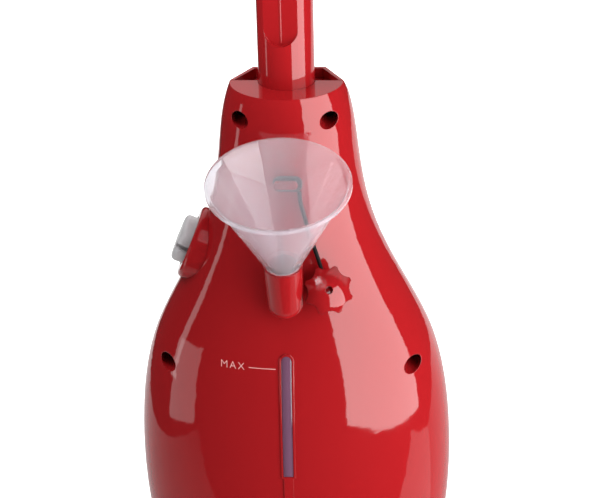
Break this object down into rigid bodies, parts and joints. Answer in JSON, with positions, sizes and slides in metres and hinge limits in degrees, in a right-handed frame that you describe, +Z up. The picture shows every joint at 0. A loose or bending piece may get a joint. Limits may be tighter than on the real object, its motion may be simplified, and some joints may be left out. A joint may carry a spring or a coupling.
{
  "type": "steam mop",
  "caption": "Upright steam mop: two-shell red body with filler funnel, steam dial and level window, fluted pole, loop handle and tilting pad head.",
  "frame": {"origin": "on the floor, on the pole's axis", "axes": "+Z up along the pole; -Y is the side with the funnel, the water window and the cord, which faces the user"},
  "size_m": [0.294, 0.1927, 1.1402],
  "materials": {
    "red_plastic": "glossy",
    "black_plastic": "satin",
    "grey_plastic": "satin",
    "white_plastic": "satin",
    "clear_red": "glossy, see-through",
    "smoke_clear": "glossy, see-through",
    "milky_plastic": "frosted, translucent",
    "black_rubber": "matte",
    "zinc_steel": "plain",
    "cast_aluminium": "as cast",
    "brass": "plain",
    "green_board": "satin",
    "white_microfibre": "looped pile"
  },
  "bodies": {
    "mop_head": {"microfibre_pad": "white_microfibre", "pad_grip_strips": "black_plastic", "head_base_plate": "black_plastic", "head_bumper": "black_rubber", "head_top_cover": "red_plastic", "head_screws": "zinc_steel", "steam_distributor": "grey_plastic", "pitch_pin": "zinc_steel"},
    "yoke": {"swivel_yoke": "black_plastic", "roll_pin": "zinc_steel", "joint_hose": "black_rubber"},
    "mop_body": {"rear_shell": "red_plastic", "front_shell": "red_plastic", "shell_screws": "zinc_steel", "water_tank": "smoke_clear", "level_window": "smoke_clear", "filler_spout": "red_plastic", "tether_lug": "red_plastic", "dial_collar": "red_plastic", "dial_switch": "black_plastic", "lower_pole": "red_plastic", "upper_pole": "red_plastic", "pole_coupling": "black_plastic", "button_spring": "zinc_steel", "handle_right_shell": "red_plastic", "handle_left_shell": "red_plastic", "handle_screws": "zinc_steel", "handle_grip": "black_rubber", "lower_cord_hook": "black_plastic", "hook_pivot": "black_plastic", "chassis": "grey_plastic", "control_board": "green_board", "water_pump": "white_plastic", "boiler": "cast_aluminium", "heating_element": "zinc_steel", "boiler_saddle": "zinc_steel", "thermostat": "white_plastic", "thermal_fuse": "zinc_steel", "suction_tube": "milky_plastic", "feed_tube": "milky_plastic", "steam_hose": "black_rubber", "cord_gland": "black_rubber", "power_lamp": "clear_red", "swivel_block": "black_plastic", "neck_collar": "black_plastic"},
    "steam_dial": {"steam_dial": "milky_plastic"},
    "filler_cap": {"filler_cap": "red_plastic", "cap_seal": "black_rubber", "tether_eyelet": "black_rubber", "cap_tether": "black_rubber"},
    "funnel": {"funnel": "milky_plastic"},
    "pole_button": {"pole_button": "black_plastic"},
    "upper_cord_hook": {"upper_cord_hook": "black_plastic"}
  },
  "joints": [
    {"name": "head_pitch", "type": "hinge", "parent": "mop_head", "child": "yoke", "pos_m": [0, 0, 0.053], "axis": [1, 0, 0], "range_deg": [0, 60]},
    {"name": "head_roll", "type": "hinge", "parent": "yoke", "child": "mop_body", "pos_m": [0, 0, 0.08], "axis": [0, 1, 0], "range_deg": [-35, 35]},
    {"name": "dial_turn", "type": "hinge", "parent": "mop_body", "child": "steam_dial", "pos_m": [-0.04974, 0, 0.34062], "axis": [-0.9205, 0, 0.3907], "range_deg": [0, 270]},
    {"name": "cap_swing", "type": "hinge", "parent": "mop_body", "child": "filler_cap", "pos_m": [0.0009, -0.034, 0.3896], "axis": [0, -1, 0], "range_deg": [0, 35]},
    {"name": "funnel_lift", "type": "slide", "parent": "mop_body", "child": "funnel", "axis": [0, -0.2706, 0.9627], "range_m": [0, 0.12]},
    {"name": "button_press", "type": "slide", "parent": "mop_body", "child": "pole_button", "axis": [0, -1, 0], "range_m": [0, 0.003], "stiffness_N_per_m": 400, "springref_m": -0.004, "deforming": ["button_spring"]},
    {"name": "hook_turn", "type": "hinge", "parent": "mop_body", "child": "upper_cord_hook", "pos_m": [0, -0.0148, 0.865], "axis": [0, 1, 0], "range_deg": [0, 180]}
  ]
}
